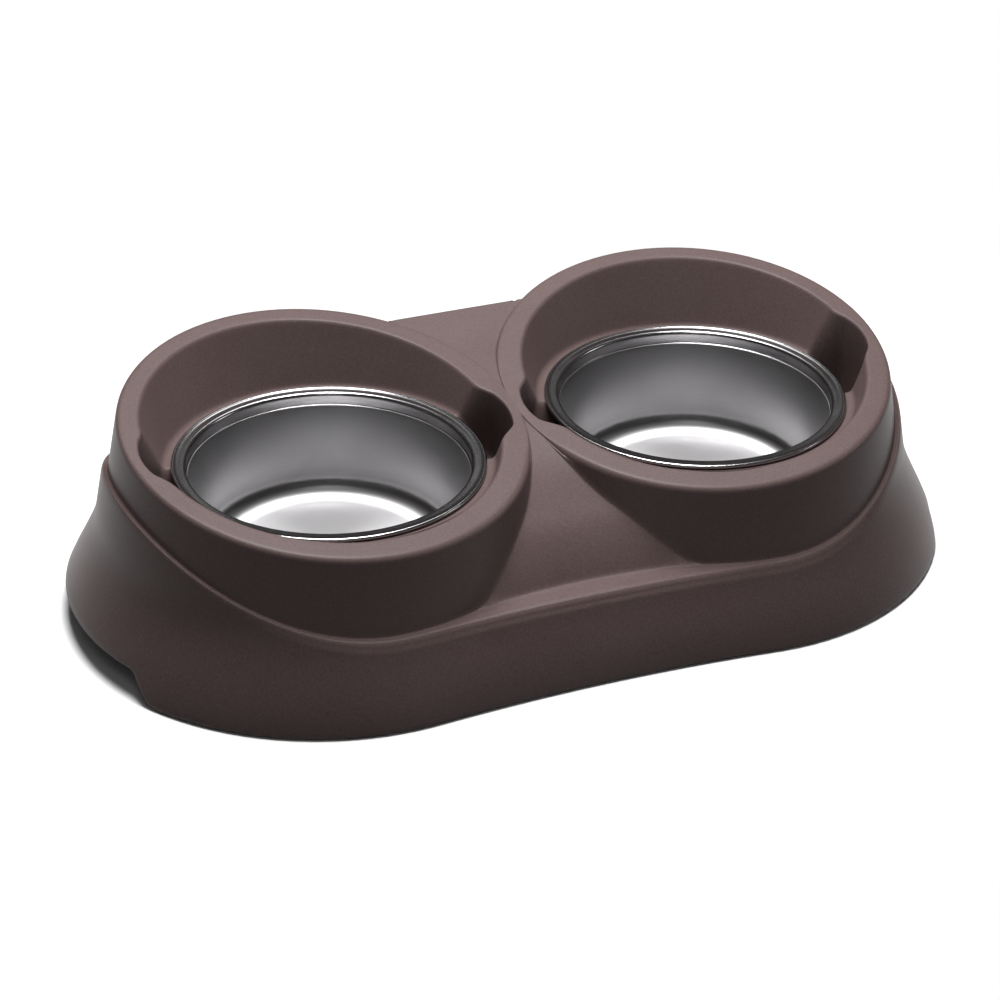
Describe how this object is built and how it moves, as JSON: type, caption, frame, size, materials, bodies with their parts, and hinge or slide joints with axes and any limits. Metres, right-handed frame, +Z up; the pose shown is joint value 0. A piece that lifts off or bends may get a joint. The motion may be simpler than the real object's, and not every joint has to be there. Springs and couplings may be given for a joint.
{
  "type": "double pet bowl",
  "caption": "Pet feeding stand: one hollow moulding with tilted round collars holds lift-out steel bowls by their rolled rims, on a flared skirt with end grips and rubber feet.",
  "frame": {"origin": "middle of the stand on the surface it stands on", "axes": "+X to the right along the two bowls, +Y to the back where the collars are tall, +Z up"},
  "size_m": [0.4262, 0.2466, 0.1064],
  "materials": {
    "stand_plastic": "dark brown moulded plastic, satin, with a very fine grain",
    "steel": "stainless sheet, polished rim and floor, turned lines on the wall",
    "foot_rubber": "plain soft rubber"
  },
  "bodies": {
    "stand": {"stand": "stand_plastic", "foot_front_left": "foot_rubber", "foot_front_right": "foot_rubber", "foot_back_left": "foot_rubber", "foot_back_right": "foot_rubber"},
    "left_bowl": {"left_bowl": "steel"},
    "right_bowl": {"right_bowl": "steel"}
  },
  "joints": [
    {"name": "left_bowl_lift", "type": "slide", "parent": "stand", "child": "left_bowl", "axis": [0, 0, 1], "range_m": [0, 0.09]},
    {"name": "right_bowl_lift", "type": "slide", "parent": "stand", "child": "right_bowl", "axis": [0, 0, 1], "range_m": [0, 0.09]}
  ]
}
